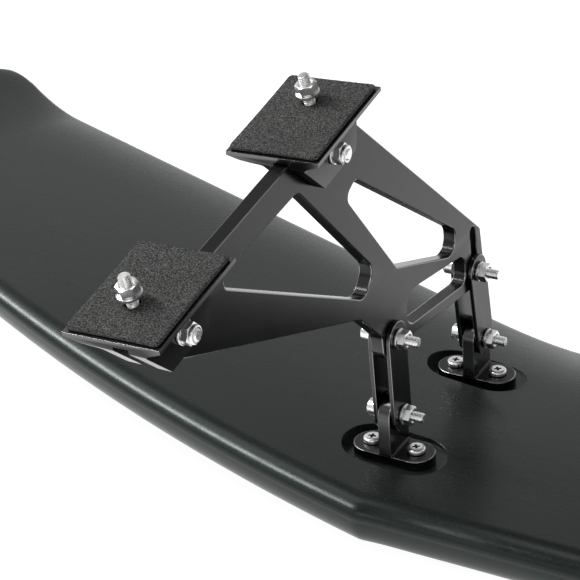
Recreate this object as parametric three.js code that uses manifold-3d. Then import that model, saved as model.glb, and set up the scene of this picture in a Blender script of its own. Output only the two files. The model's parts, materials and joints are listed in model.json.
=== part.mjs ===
// Racing rear wing, lying upside down on its blade with the two mounting stands pointing up.
// Millimetres. +X runs along the span, +Y from the leading edge to the trailing edge, +Z up.
import * as THREE from 'three';
import * as BufferGeometryUtils from 'three/addons/utils/BufferGeometryUtils.js';
import Module from 'manifold-3d';

const wasm = await Module();
wasm.setup();

// ---------------------------------------------------------------- driving dimensions

// Stations along the chord are measured from the front lower pivot, heights from the resting plane.
const HALF_SPAN = 720;
const STAND_X = 220;
const PIVOT_HEIGHT = 58;
const CLEARANCE = 0.3;

// Blade plan form: straight in the middle, swept back outboard of a kink near each stand.
// Just inboard of its kink the leading edge eases back by a small step.
const LEADING_Y = -60.87;
const TRAILING_Y = 188;
const KINK_X = STAND_X - 6;
const LEADING_SWEEP = 0.1446;
const LEADING_CURVE = 0.000414;
const LEADING_STEP = 5;
const LEADING_EASE = 20;
const TRAILING_SWEEP = 0.25;
const TRAILING_KINK_X = STAND_X - 8;
const TRAILING_BLEND = 30;

// Blade front view: flat in the middle, rising outboard, with a lip curled up at each tip.
const DIHEDRAL_START_X = STAND_X - 34;
const DIHEDRAL = 0.1;
const DIHEDRAL_BLEND = 16;
const TIP_CURL_START_X = STAND_X + 428;
const TIP_CURL = 24;
const TIP_CORNER_RADIUS = 22;

// Blade section: blunt nose, full belly, thin trailing edge.
const SECTION_HEIGHT = 29.7;
const TRAILING_THICKNESS = 4;
const BELLY_POWER = 3.6;
const SEAM_HEIGHT = 20;
const NOSE_LENGTH = 15;
const UPPER_SKIN_CAMBER = 5;
const UPPER_SKIN_FLAT = 0.12;
const TIP_THINNING = 0.14;
const WALL = 3;
const TIP_WALL = 4;

// T-brackets, their pockets, screws and backing plates.
const BRACKET = { length: 50, width: 23, base: 6, tongue: 7.6, pivot: 23 };
const POCKET = { length: 63, width: 40, floor: 3.6, rim: 4 };
const SCREW_SPACING = 28;
const SCREW = { head: 5.4, headHeight: 3, shank: 2.4, length: 13.4 };
const BACKING = { length: 44, width: 16, thickness: 3 };

// Pivots of one stand, in its own plane (y, z above the front lower pivot).
const FRONT_LOWER = [0, 0];
const FRONT_UPPER = [-2.7, 49.9];
const REAR_LOWER = [108.2, -6.4];
const REAR_UPPER = [99.9, 42.9];
const REAR_FOOT = [-70, 190.4];
const FRONT_FOOT = [-212.4, 161.7];

const PLATE = 8;
const LINK = { width: 20, thickness: 2.5 };
const BOLT_RADIUS = 3;
const HOLE_RADIUS = 3.3;

// The slot lets the rear bolt travel on an arc about the front upper pivot.
const SLOT = { halfWidth: 3.6, low: -4.4, high: 10.4 };

const FOOT = {
  outboard: -31,
  inboard: 21.5,
  front: -29.4,
  back: 37.4,
  top: 14.5,
  edge: 2.2,
  root: 5.4,
  groove: 3.1,
  flange: 7.8,
  drop: 12.3,
};
const FOOT_CANT = 2.6;
const FOOT_PITCH = 12.9;
const FOAM = { thickness: 2.4, inset: 1.2, corner: 2.5 };
const STUD = { x: -7, frontY: -5.5, rearY: 15.5, length: 15.5, nutAt: 5.6 };

// Facets on turned parts, and the widest angle between points along round outlines and holes.
const ROUND = 14;
const ARC_STEP = Math.PI / 9;
const HOLE_STEP = Math.PI / 6;
const rad = THREE.MathUtils.degToRad;

// ---------------------------------------------------------------- materials

function material(color, roughness, metalness) {
  return new THREE.MeshStandardMaterial({ color, roughness, metalness });
}

const blackPlastic = material(0x2b2d2e, 0.55, 0);
const blackAnodised = material(0x1b1c1e, 0.38, 0.85);
const zincSteel = material(0xc9ccd0, 0.25, 1);
const plainSteel = material(0x8b8e92, 0.45, 1);
const foamRubber = material(0x17181a, 0.95, 0);

// ---------------------------------------------------------------- solids and meshes

function solidOf(geometry) {
  const plain = geometry.clone();
  plain.deleteAttribute('normal');
  plain.deleteAttribute('uv');
  const merged = BufferGeometryUtils.mergeVertices(plain, 1e-4);
  return new wasm.Manifold(
    new wasm.Mesh({
      numProp: 3,
      vertProperties: new Float32Array(merged.attributes.position.array),
      triVerts: new Uint32Array(merged.index.array),
    }),
  );
}

function geometryOf(solid) {
  const mesh = solid.getMesh();
  const geometry = new THREE.BufferGeometry();
  geometry.setAttribute('position', new THREE.BufferAttribute(mesh.vertProperties, 3));
  geometry.setIndex(new THREE.BufferAttribute(mesh.triVerts, 1));
  geometry.computeVertexNormals();
  return geometry;
}

function cut(body, ...tools) {
  return tools.reduce((left, tool) => left.subtract(tool), body);
}

function join(body, ...others) {
  return others.reduce((sum, other) => sum.add(other), body);
}

// An outline drawn in (y, z) and pushed along x from x0 to x1.
function plateSolid(outline, x0, x1) {
  const geometry = new THREE.ExtrudeGeometry(outline, { depth: x1 - x0, bevelEnabled: false });
  const turn = new THREE.Matrix4().makeBasis(
    new THREE.Vector3(0, 1, 0),
    new THREE.Vector3(0, 0, 1),
    new THREE.Vector3(1, 0, 0),
  );
  return solidOf(geometry.applyMatrix4(turn).translate(x0, 0, 0));
}

// An outline drawn in (x, y) and pushed along z from z0 to z1.
function slabSolid(outline, z0, z1) {
  const geometry = new THREE.ExtrudeGeometry(outline, { depth: z1 - z0, bevelEnabled: false });
  return solidOf(geometry.translate(0, 0, z0));
}

// A profile of [radius, height] points turned about the z axis.
function turnedSolid(profile, segments = ROUND) {
  const points = profile.map(([radius, height]) => new THREE.Vector2(radius, height));
  return solidOf(new THREE.LatheGeometry(points, segments).rotateX(Math.PI / 2));
}

function movedSolid(solid, matrix) {
  return solidOf(geometryOf(solid).applyMatrix4(matrix));
}

const alongX = new THREE.Matrix4().makeRotationY(Math.PI / 2);

function at(x, y, z) {
  return new THREE.Matrix4().makeTranslation(x, y, z);
}

// ---------------------------------------------------------------- outlines

// Points along an arc; a falling angle runs it clockwise.
function arcPoints([a, b], radius, from, to, step = ARC_STEP) {
  const steps = Math.max(2, Math.ceil(Math.abs(to - from) / step - 1e-6));
  return Array.from({ length: steps + 1 }, (_, i) => {
    const angle = from + ((to - from) * i) / steps;
    return new THREE.Vector2(a + radius * Math.cos(angle), b + radius * Math.sin(angle));
  });
}

// A closed outline from corners [a, b, radius], each corner rounded with its own radius.
function roundedPoints(corners) {
  const count = corners.length;
  return corners.flatMap(([a, b, radius], i) => {
    const corner = new THREE.Vector2(a, b);
    const [beforeA, beforeB] = corners[(i + count - 1) % count];
    const [afterA, afterB] = corners[(i + 1) % count];
    const before = new THREE.Vector2(beforeA, beforeB).sub(corner).normalize();
    const after = new THREE.Vector2(afterA, afterB).sub(corner).normalize();
    const half = Math.acos(before.dot(after)) / 2;
    const start = corner.clone().addScaledVector(before, radius / Math.tan(half));
    const centre = before.clone().add(after).setLength(radius / Math.sin(half)).add(corner);
    const from = Math.atan2(start.y - centre.y, start.x - centre.x);
    const turn = (Math.PI - 2 * half) * (before.cross(after) > 0 ? -1 : 1);
    return arcPoints([centre.x, centre.y], radius, from, from + turn);
  });
}

function roundHole(centre, radius) {
  return new THREE.Path(arcPoints(centre, radius, 0, -Math.PI * 2, HOLE_STEP).slice(1));
}

// A stadium centred on the origin, its long axis along the first axis.
function stadium(length, width) {
  const reach = (length - width) / 2;
  return new THREE.Shape([
    ...arcPoints([reach, 0], width / 2, -Math.PI / 2, Math.PI / 2),
    ...arcPoints([-reach, 0], width / 2, Math.PI / 2, Math.PI * 1.5),
  ]);
}

// A bar with round ends about two pivots.
function barOutline([a0, b0], [a1, b1], radius) {
  const lean = Math.atan2(b1 - b0, a1 - a0);
  return new THREE.Shape([
    ...arcPoints([a1, b1], radius, lean - Math.PI / 2, lean + Math.PI / 2),
    ...arcPoints([a0, b0], radius, lean + Math.PI / 2, lean + Math.PI * 1.5),
  ]);
}

// ---------------------------------------------------------------- blade

// Rises smoothly from zero along the positive side, over a blend of the given width.
function ramp(distance, blend) {
  return (distance + Math.hypot(distance, blend)) / 2;
}

function leadingY(x) {
  const out = ramp(Math.abs(x) - KINK_X, 1.5);
  const step = LEADING_STEP * (1 - Math.exp(-Math.max(0, KINK_X - Math.abs(x)) / LEADING_EASE));
  return LEADING_Y + step + LEADING_SWEEP * out + LEADING_CURVE * out * out;
}

function trailingY(x) {
  return TRAILING_Y + TRAILING_SWEEP * ramp(Math.abs(x) - TRAILING_KINK_X, TRAILING_BLEND);
}

function liftAt(x) {
  const flat = ramp(-DIHEDRAL_START_X, DIHEDRAL_BLEND);
  const out = ramp(Math.abs(x) - DIHEDRAL_START_X, DIHEDRAL_BLEND) - flat;
  const curl = Math.max(0, (Math.abs(x) - TIP_CURL_START_X) / (HALF_SPAN - TIP_CURL_START_X));
  return DIHEDRAL * Math.max(0, out) + TIP_CURL * curl * curl;
}

// How far the plan outline draws in at the tip, to round its corners.
function tipRounding(x) {
  const into = Math.abs(x) - (HALF_SPAN - TIP_CORNER_RADIUS);
  if (into <= 0) return 0;
  return TIP_CORNER_RADIUS - Math.sqrt(Math.max(0, TIP_CORNER_RADIUS ** 2 - into ** 2));
}

// One section of the blade: y and z of a point at share s of the chord, on a named surface.
function section(x) {
  const round = 0.9 * tipRounding(x);
  const front = leadingY(x) + round;
  const chord = trailingY(x) - round - front;
  const lift = liftAt(x);
  const outboard = Math.max(0, Math.abs(x) - KINK_X) / (HALF_SPAN - KINK_X);
  const thin = 1 - TIP_THINNING * outboard;
  const seam = (s) => THREE.MathUtils.lerp(SEAM_HEIGHT, TRAILING_THICKNESS / 2, s);
  const nose = (s) => Math.sqrt(1 - (1 - Math.min(1, (s * chord) / NOSE_LENGTH)) ** 2);
  const belly = (s) => {
    const full = TRAILING_THICKNESS + (SECTION_HEIGHT - TRAILING_THICKNESS) * (1 - s ** BELLY_POWER);
    return seam(s) + (full - seam(s)) * nose(s);
  };
  const back = (s) => {
    const along = Math.max(0, (s - UPPER_SKIN_FLAT) / (1 - UPPER_SKIN_FLAT));
    const full = UPPER_SKIN_CAMBER * 4 * along * (1 - along);
    return seam(s) - (seam(s) - full) * nose(s);
  };
  return {
    y: (s) => front + s * chord,
    belly: (s) => lift + thin * belly(s),
    back: (s) => lift + thin * back(s),
    seam: (s) => lift + thin * seam(s),
    inset: WALL / chord,
  };
}

const CHORD_STEPS = 13;
const chordShares = Array.from({ length: CHORD_STEPS + 1 }, (_, i) => (i / CHORD_STEPS) ** 1.9);

// Stations from tip to tip, closer together where the plan or front view bends.
function stations(limit) {
  const half = [
    0, 120, 155, 178, 193, 204, KINK_X - 2, KINK_X + 2, KINK_X + 18, STAND_X + 50, 350, 430, 510, 590,
    TIP_CURL_START_X, 680, HALF_SPAN - 25, HALF_SPAN - 13, HALF_SPAN - 5,
  ].filter((x) => x < limit - 1);
  half.push(limit);
  return [...half.slice(1).reverse().map((x) => -x), ...half];
}

// Skins a closed ring of (y, z) points from station to station and caps both ends.
function loft(ringAt, xs) {
  const rings = xs.map((x) => ringAt(x).map(([y, z]) => [x, y, z]));
  const size = rings[0].length;
  const positions = rings.flat(2);
  const index = [];
  for (let i = 0; i < xs.length - 1; i += 1) {
    for (let j = 0; j < size; j += 1) {
      const k = (j + 1) % size;
      const a = i * size + j;
      const b = i * size + k;
      index.push(a, b, b + size, a, b + size, a + size);
    }
  }
  const last = (xs.length - 1) * size;
  const capOf = (x) => {
    const contour = ringAt(x).map(([y, z]) => new THREE.Vector2(y, z));
    return THREE.ShapeUtils.triangulateShape(contour, []);
  };
  capOf(xs[0]).forEach(([a, b, c]) => index.push(a, c, b));
  capOf(xs[xs.length - 1]).forEach(([a, b, c]) => index.push(last + a, last + b, last + c));
  const geometry = new THREE.BufferGeometry();
  geometry.setAttribute('position', new THREE.Float32BufferAttribute(positions, 3));
  geometry.setIndex(index);
  return solidOf(geometry);
}

// The block between a blade surface and the seam plane, kept clear of the other half.
function skinBlock(surface, xs, shift) {
  return loft((x) => {
    const cross = section(x);
    const shares = chordShares.slice(1);
    const outer = shares.map((s) => [cross.y(s), cross[surface](s)]);
    const inner = chordShares.map((s) => [cross.y(s), cross.seam(s) + shift]);
    const ring = [...inner, ...outer.reverse()];
    return surface === 'belly' ? ring : ring.reverse();
  }, xs);
}

// The hollow under a blade surface, one wall in from it and from the leading edge.
function skinHollow(surface, xs, shift) {
  const side = surface === 'belly' ? -1 : 1;
  return loft((x) => {
    const cross = section(x);
    const from = cross.inset;
    const to = 0.9;
    const shares = chordShares.map((s) => from + s * (to - from));
    const roof = shares.map((s) => {
      const wall = cross[surface](s) + side * WALL;
      const least = cross.seam(s) - side * 0.05;
      return [cross.y(s), side < 0 ? Math.max(wall, least) : Math.min(wall, least)];
    });
    const open = shares.map((s) => [cross.y(s), cross.seam(s) + shift + side * 2]);
    const ring = [...open, ...roof.reverse()];
    return side < 0 ? ring : ring.reverse();
  }, xs);
}

const bracketSpots = [
  { name: 'front', y: FRONT_LOWER[0], floor: PIVOT_HEIGHT + FRONT_LOWER[1] - BRACKET.pivot - BRACKET.base },
  { name: 'rear', y: REAR_LOWER[0], floor: PIVOT_HEIGHT + REAR_LOWER[1] - BRACKET.pivot - BRACKET.base },
];

function screwAxes() {
  return [-STAND_X, STAND_X].flatMap((x) =>
    bracketSpots.flatMap((spot) =>
      [-1, 1].map((end) => ({ x: x + (end * SCREW_SPACING) / 2, y: spot.y, floor: spot.floor })),
    ),
  );
}

function upright(radius, x, y, low, high) {
  return slabSolid(new THREE.Shape(arcPoints([x, y], radius, 0, Math.PI * 2, HOLE_STEP).slice(1)), low, high);
}

function bladeLowerSkin() {
  const gap = CLEARANCE / 2;
  const block = skinBlock('belly', stations(HALF_SPAN), gap);
  let hollow = skinHollow('belly', stations(HALF_SPAN - TIP_WALL), gap);
  const cuts = [];
  [-STAND_X, STAND_X].forEach((x) => {
    bracketSpots.forEach((spot) => {
      const rim = stadium(POCKET.length + 2 * POCKET.rim, POCKET.width + 2 * POCKET.rim);
      const plug = slabSolid(rim, spot.floor - POCKET.floor, spot.floor + 40);
      hollow = hollow.subtract(movedSolid(plug, at(x, spot.y, 0)));
      const pocket = slabSolid(stadium(POCKET.length, POCKET.width), spot.floor - CLEARANCE, spot.floor + 40);
      cuts.push(movedSolid(pocket, at(x, spot.y, 0)));
    });
  });
  screwAxes().forEach((axis) => {
    cuts.push(upright(HOLE_RADIUS, axis.x, axis.y, axis.floor - 8, axis.floor + 1));
  });
  return cut(block, hollow, ...cuts);
}

function bladeUpperSkin() {
  const gap = CLEARANCE / 2;
  const block = skinBlock('back', stations(HALF_SPAN), -gap);
  return cut(block, skinHollow('back', stations(HALF_SPAN - TIP_WALL), -gap));
}

// ---------------------------------------------------------------- stand plate

function slotOutline() {
  const [cy, cz] = FRONT_UPPER;
  const reach = Math.hypot(REAR_UPPER[0] - cy, REAR_UPPER[1] - cz);
  const low = rad(SLOT.low);
  const high = rad(SLOT.high);
  const end = (angle) => [cy + reach * Math.cos(angle), cz + reach * Math.sin(angle)];
  return new THREE.Path([
    ...arcPoints([cy, cz], reach + SLOT.halfWidth, low, high, rad(4)),
    ...arcPoints(end(high), SLOT.halfWidth, high, high + Math.PI).slice(1, -1),
    ...arcPoints([cy, cz], reach - SLOT.halfWidth, high, low, rad(4)),
    ...arcPoints(end(low), SLOT.halfWidth, low + Math.PI, low + Math.PI * 2).slice(1, -1),
  ]);
}

// The line through both foot bolts, and the chord edge a little above it.
const FOOT_LINE_SLOPE = (REAR_FOOT[1] - FRONT_FOOT[1]) / (REAR_FOOT[0] - FRONT_FOOT[0]);
const CHORD_EDGE = 9.9;

function chordZ(y) {
  const foot = REAR_FOOT[1] + FOOT_LINE_SLOPE * (y - REAR_FOOT[0]);
  return foot + CHORD_EDGE * Math.hypot(1, FOOT_LINE_SLOPE);
}

function standPlate() {
  const lug = 12.5;
  const outline = new THREE.Shape(roundedPoints([
    [-220, chordZ(-220), 9],
    [-226, 149.3, 9],
    [-38, 78.5, 14],
    [FRONT_UPPER[0] - lug, FRONT_UPPER[1] + 6, 6],
    [FRONT_UPPER[0] - lug + 1.5, FRONT_UPPER[1] - lug, 10],
    [24, 40, 20],
    [90, 32.6, 14],
    [114.5, 30.5, 10],
    [108.6, 67, 4],
    [-50, chordZ(-50), 8],
  ]));
  const windows = [
    [[-174.5, 163.5, 5], [-93.4, 177.2, 7], [-21, 101.5, 8], [-32, 87.5, 8]],
    [[4.8, 89.5, 1], [-47, 153.5, 5], [-36, 159.9, 5], [75.5, 81, 8], [77, 63, 8]],
    [[88.5, 40.1, 6], [14.5, 47.8, 8.5], [14.5, 69.4, 8.5], [87, 59, 8]],
  ];
  outline.holes.push(
    ...windows.map((corners) => new THREE.Path(roundedPoints(corners))),
    slotOutline(),
    roundHole(FRONT_UPPER, HOLE_RADIUS),
    roundHole(REAR_FOOT, HOLE_RADIUS),
    roundHole(FRONT_FOOT, HOLE_RADIUS),
  );
  return plateSolid(outline, -PLATE / 2, PLATE / 2);
}

// ---------------------------------------------------------------- links and T-brackets

function link(lower, upper) {
  const outline = barOutline(lower, upper, LINK.width / 2);
  outline.holes.push(roundHole(lower, HOLE_RADIUS), roundHole(upper, HOLE_RADIUS));
  return plateSolid(outline, 0, LINK.thickness);
}

function tBracket([y, z]) {
  const bottom = z - BRACKET.pivot - BRACKET.base;
  const foot = slabSolid(stadium(BRACKET.length, BRACKET.width), 0, BRACKET.base);
  const seat = movedSolid(foot, at(0, y, bottom));
  const tongue = new THREE.Shape([
    new THREE.Vector2(y - BRACKET.width / 2, bottom + 1),
    new THREE.Vector2(y + BRACKET.width / 2, bottom + 1),
    ...arcPoints([y, z], BRACKET.width / 2, 0, Math.PI),
  ]);
  tongue.holes.push(roundHole([y, z], HOLE_RADIUS));
  const web = plateSolid(tongue, -BRACKET.tongue / 2, BRACKET.tongue / 2);
  const hole = upright(HOLE_RADIUS, 0, y, bottom - 1, bottom + 9);
  const holes = [-1, 1].map((end) => movedSolid(hole, at((end * SCREW_SPACING) / 2, 0, 0)));
  return cut(join(seat, web), ...holes);
}

function backingPlate([y, z]) {
  const top = z - BRACKET.pivot - BRACKET.base - POCKET.floor - CLEARANCE;
  const plate = slabSolid(stadium(BACKING.length, BACKING.width), top - BACKING.thickness, top);
  const hole = upright(HOLE_RADIUS - 0.6, 0, 0, top - 4, top + 1);
  const holes = [-1, 1].map((end) => movedSolid(hole, at((end * SCREW_SPACING) / 2, 0, 0)));
  return movedSolid(cut(plate, ...holes), at(0, y, 0));
}

// ---------------------------------------------------------------- fasteners

function hexPrism(acrossFlats, z0, z1) {
  const corner = acrossFlats / Math.sqrt(3);
  const prism = new THREE.CylinderGeometry(corner, corner, z1 - z0, 6);
  return solidOf(prism.rotateX(Math.PI / 2).translate(0, 0, (z0 + z1) / 2));
}

// A cross recess for a driver, sunk into a head whose top is at the given height.
function crossRecess(top, depth) {
  const arms = [[5.2, 1.2], [1.2, 5.2]].map(([length, width]) => {
    return solidOf(new THREE.BoxGeometry(length, width, depth * 2).translate(0, 0, top));
  });
  return join(...arms);
}

// Cap-head bolt, two washers and a nut through a link stack; the head is on the outboard side.
function pivotBolt([y, z]) {
  const face = PLATE / 2 + CLEARANCE + LINK.thickness + CLEARANCE;
  const bolt = turnedSolid([
    [0, -face - 7.4],
    [4.4, -face - 7.4],
    [5, -face - 6.8],
    [5, -face - 1.2],
    [6, -face - 1.2],
    [6, -face],
    [BOLT_RADIUS, -face],
    [BOLT_RADIUS, face],
    [6, face],
    [6, face + 1.2],
    [BOLT_RADIUS, face + 1.2],
    [BOLT_RADIUS, face + 11.8],
    [BOLT_RADIUS - 0.7, face + 12.6],
    [0, face + 12.6],
  ]);
  const nut = hexPrism(10, face + 1.1, face + 6.2);
  return movedSolid(join(bolt, nut), at(0, y, z).multiply(alongX));
}

// Bolt and lock nut that clamp both foot flanges on the stand; the nut is on the inboard side.
function footBolt() {
  const inner = PLATE / 2 + CLEARANCE + FOOT.flange + CLEARANCE;
  const bolt = turnedSolid([
    [0, -inner - 3.3],
    [3, -inner - 3.3],
    [5.3, -inner - 2.1],
    [5.3, -inner],
    [BOLT_RADIUS, -inner],
    [BOLT_RADIUS, inner],
    [6.2, inner],
    [6.2, inner + 1.2],
    [4.7, inner + 1.4],
    [4.7, inner + 6.6],
    [4, inner + 7.4],
    [BOLT_RADIUS, inner + 7.4],
    [BOLT_RADIUS - 0.5, inner + 8.2],
    [0, inner + 8.2],
  ]);
  return movedSolid(join(bolt, hexPrism(10, inner + 1, inner + 5.4)), alongX);
}

function bracketScrew([y, z], end) {
  const top = z - BRACKET.pivot;
  const screw = turnedSolid(
    [
      [0, top + CLEARANCE + SCREW.headHeight],
      [SCREW.head - 2, top + CLEARANCE + SCREW.headHeight],
      [SCREW.head, top + CLEARANCE + SCREW.headHeight - 1.3],
      [SCREW.head, top + CLEARANCE],
      [SCREW.shank, top + CLEARANCE],
      [SCREW.shank, top - SCREW.length + 1],
      [SCREW.shank - 0.9, top - SCREW.length],
      [0, top - SCREW.length],
    ].reverse(),
    12,
  );
  const recess = crossRecess(top + CLEARANCE + SCREW.headHeight, 1.8);
  return movedSolid(cut(screw, recess), at((end * SCREW_SPACING) / 2, y, 0));
}

// ---------------------------------------------------------------- feet

// Leans what stands on the deck by the deck's cant.
const cant = at(0, 0, FOOT.top)
  .multiply(new THREE.Matrix4().makeRotationY(-rad(FOOT_CANT)))
  .multiply(at(0, 0, -FOOT.top));

// The foot bracket is drawn about its pivot bolt and pitched afterwards. Its deck is canted a little
// to the outboard side, and its two flanges stand either side of the stand plate.
function footBracket(studY) {
  const { outboard, inboard, front, back, top, edge, root, groove, flange, drop } = FOOT;
  const inner = PLATE / 2 + CLEARANCE;
  const outer = inner + flange;
  const under = (x, depth) => [x, top + x * Math.tan(rad(FOOT_CANT)) - depth];
  const profile = new THREE.Shape();
  profile.moveTo(...under(outboard, 0));
  profile.lineTo(...under(outboard, edge));
  profile.lineTo(...under(-outer - 5.5, root + 0.8));
  profile.quadraticCurveTo(...under(-outer, root + 1.2), ...under(-outer, root + 3));
  profile.lineTo(-outer, -drop);
  profile.lineTo(-inner, -drop);
  profile.lineTo(...under(-inner, groove));
  profile.lineTo(...under(inner, groove));
  profile.lineTo(inner, -drop);
  profile.lineTo(outer, -drop);
  profile.lineTo(...under(outer, root + 2.8));
  profile.quadraticCurveTo(...under(outer, root + 0.6), ...under(outer + 3, root - 0.8));
  profile.lineTo(...under(inboard, edge));
  profile.lineTo(...under(inboard, 0));
  profile.closePath();
  const push = { depth: back - front, bevelEnabled: false, curveSegments: 4 };
  const run = new THREE.ExtrudeGeometry(profile, push);
  const body = solidOf(run.rotateX(Math.PI / 2).translate(0, back, 0));

  // Side view of the flange: everything below the plate outside this outline is cut away.
  const keep = new THREE.Shape();
  keep.moveTo(front - 1, top + 3);
  keep.lineTo(front - 1, top - root - 1);
  keep.lineTo(front, top - root);
  keep.lineTo(front + 15.5, -drop);
  keep.lineTo(back - 18.5, -drop);
  keep.lineTo(back - 15.5, -drop + 5);
  keep.lineTo(back - 10.5, top - root - 1);
  keep.lineTo(back + 1, top - root - 1);
  keep.lineTo(back + 1, top + 3);
  keep.closePath();
  const trimmed = body.intersect(plateSolid(keep, outboard - 1, inboard + 1));
  const bore = [[0, -outer - 1], [HOLE_RADIUS, -outer - 1], [HOLE_RADIUS, outer + 1], [0, outer + 1]];
  const studHole = movedSolid(upright(HOLE_RADIUS, STUD.x, studY, top - 4.4, top + 1), cant);
  return cut(trimmed, movedSolid(turnedSolid(bore), alongX), studHole);
}

function foamPad(studY) {
  const { inset, thickness, corner } = FOAM;
  const outline = new THREE.Shape(roundedPoints([
    [FOOT.outboard + inset, FOOT.front + inset, corner],
    [FOOT.inboard - inset, FOOT.front + inset, corner],
    [FOOT.inboard - inset, FOOT.back - inset, corner],
    [FOOT.outboard + inset, FOOT.back - inset, corner],
  ]));
  outline.holes.push(roundHole([STUD.x, studY], HOLE_RADIUS + 0.6));
  return movedSolid(slabSolid(outline, FOOT.top + CLEARANCE, FOOT.top + CLEARANCE + thickness), cant);
}

// Stud screwed into the foot and standing up through its pad, with a washer and nut part-way up.
function trunkStud(studY) {
  const foam = FOOT.top + CLEARANCE + FOAM.thickness;
  const nut = foam + STUD.nutAt;
  const stud = turnedSolid([
    [0, FOOT.top - 2.8],
    [BOLT_RADIUS - 0.6, FOOT.top - 2.8],
    [BOLT_RADIUS, FOOT.top - 2.2],
    [BOLT_RADIUS, nut - 1.6],
    [6.2, nut - 1.6],
    [6.2, nut],
    [BOLT_RADIUS, nut],
    [BOLT_RADIUS, foam + STUD.length - 0.8],
    [BOLT_RADIUS - 0.7, foam + STUD.length],
    [0, foam + STUD.length],
  ]);
  const whole = join(stud, hexPrism(10, nut - 0.1, nut + 5));
  return movedSolid(whole, cant.clone().multiply(at(STUD.x, studY, 0)));
}

// ---------------------------------------------------------------- assembly

const wing = new THREE.Group();

function addMesh(parent, name, solid, finish, mirror = false) {
  const geometry = geometryOf(solid);
  if (mirror) {
    geometry.scale(-1, 1, 1);
    const index = geometry.index.array;
    for (let i = 0; i < index.length; i += 3) [index[i], index[i + 1]] = [index[i + 1], index[i]];
    geometry.computeVertexNormals();
  }
  const mesh = new THREE.Mesh(geometry, finish);
  mesh.name = name;
  parent.add(mesh);
  return mesh;
}

function addFoot(parent, name, side, [y, z], studY, mirror) {
  const foot = new THREE.Group();
  foot.position.set(0, y, z);
  foot.rotation.x = rad(FOOT_PITCH);
  addMesh(foot, `${name}_foot_bracket_${side}`, footBracket(studY), blackAnodised, mirror);
  addMesh(foot, `${name}_foot_bolt_${side}`, footBolt(), zincSteel, mirror);
  addMesh(foot, `${name}_foam_pad_${side}`, foamPad(studY), foamRubber, mirror);
  addMesh(foot, `${name}_trunk_stud_${side}`, trunkStud(studY), zincSteel, mirror);
  parent.add(foot);
}

function addStand(side, x) {
  const mirror = x > 0;
  const stand = new THREE.Group();
  stand.position.set(x, 0, PIVOT_HEIGHT);
  const add = (name, solid, finish) => addMesh(stand, `${name}_${side}`, solid, finish, mirror);
  add('stand_plate', standPlate(), blackAnodised);
  const reach = PLATE / 2 + CLEARANCE;
  [
    ['front', FRONT_LOWER, FRONT_UPPER],
    ['rear', REAR_LOWER, REAR_UPPER],
  ].forEach(([end, lower, upper]) => {
    add(`${end}_t_bracket`, tBracket(lower), blackAnodised);
    add(`${end}_backing_plate`, backingPlate(lower), plainSteel);
    const bar = link(lower, upper);
    add(`${end}_link_inner`, movedSolid(bar, at(reach, 0, 0)), blackAnodised);
    add(`${end}_link_outer`, movedSolid(bar, at(-reach - LINK.thickness, 0, 0)), blackAnodised);
    add(`${end}_lower_pivot_bolt`, pivotBolt(lower), zincSteel);
    add(`${end}_upper_pivot_bolt`, pivotBolt(upper), zincSteel);
    add(`${end}_screw_outer`, bracketScrew(lower, -1), zincSteel);
    add(`${end}_screw_inner`, bracketScrew(lower, 1), zincSteel);
  });
  addFoot(stand, 'front', side, FRONT_FOOT, STUD.frontY, mirror);
  addFoot(stand, 'rear', side, REAR_FOOT, STUD.rearY, mirror);
  wing.add(stand);
}

addMesh(wing, 'blade_lower_skin', bladeLowerSkin(), blackPlastic);
addMesh(wing, 'blade_upper_skin', bladeUpperSkin(), blackPlastic);
addStand('left', -STAND_X);
addStand('right', STAND_X);

// The origin sits under the middle of the whole object, on the plane it rests on.
const extent = new THREE.Box3().setFromObject(wing);
wing.position.y -= (extent.min.y + extent.max.y) / 2;
wing.position.z -= extent.min.z;

export default wing;
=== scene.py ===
"""Looks for the racing rear wing: smooth skins, bevelled plates, threaded hardware and soft studio light.

Meshes are drawn in millimetres, and place() brings them into the frame of the CAD model, in metres.
"""
import json
import math

import bmesh
import bpy
import numpy as np
from mathutils import Matrix, Vector, noise


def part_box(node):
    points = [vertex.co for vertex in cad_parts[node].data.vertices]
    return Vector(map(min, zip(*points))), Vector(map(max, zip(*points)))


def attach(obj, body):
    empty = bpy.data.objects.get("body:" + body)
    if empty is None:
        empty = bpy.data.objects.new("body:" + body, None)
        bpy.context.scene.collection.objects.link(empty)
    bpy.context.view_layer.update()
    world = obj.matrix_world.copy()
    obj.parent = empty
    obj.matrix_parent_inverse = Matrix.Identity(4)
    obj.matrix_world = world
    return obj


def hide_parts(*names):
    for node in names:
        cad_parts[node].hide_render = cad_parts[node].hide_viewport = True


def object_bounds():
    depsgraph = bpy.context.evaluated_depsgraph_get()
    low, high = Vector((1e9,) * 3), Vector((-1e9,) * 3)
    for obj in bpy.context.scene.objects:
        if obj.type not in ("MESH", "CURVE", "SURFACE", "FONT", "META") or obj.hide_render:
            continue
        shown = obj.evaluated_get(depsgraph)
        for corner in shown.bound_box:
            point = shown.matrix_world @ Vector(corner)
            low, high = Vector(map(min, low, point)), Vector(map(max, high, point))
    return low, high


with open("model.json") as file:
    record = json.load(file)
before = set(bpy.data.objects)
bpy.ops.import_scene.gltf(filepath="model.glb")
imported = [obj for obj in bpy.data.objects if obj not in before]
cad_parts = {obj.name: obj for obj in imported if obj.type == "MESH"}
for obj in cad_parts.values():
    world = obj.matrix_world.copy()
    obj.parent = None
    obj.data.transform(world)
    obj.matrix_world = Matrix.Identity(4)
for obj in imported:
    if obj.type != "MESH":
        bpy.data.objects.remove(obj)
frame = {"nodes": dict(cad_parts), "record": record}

MM = 0.001
cad_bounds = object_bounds()
joints = {joint["name"]: joint for joint in frame["record"]["behaviour"]["joints"]}
origin = Vector(joints["front_link_swing_left"]["pos_m"])
rad = math.radians
scene = bpy.context.scene


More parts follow.
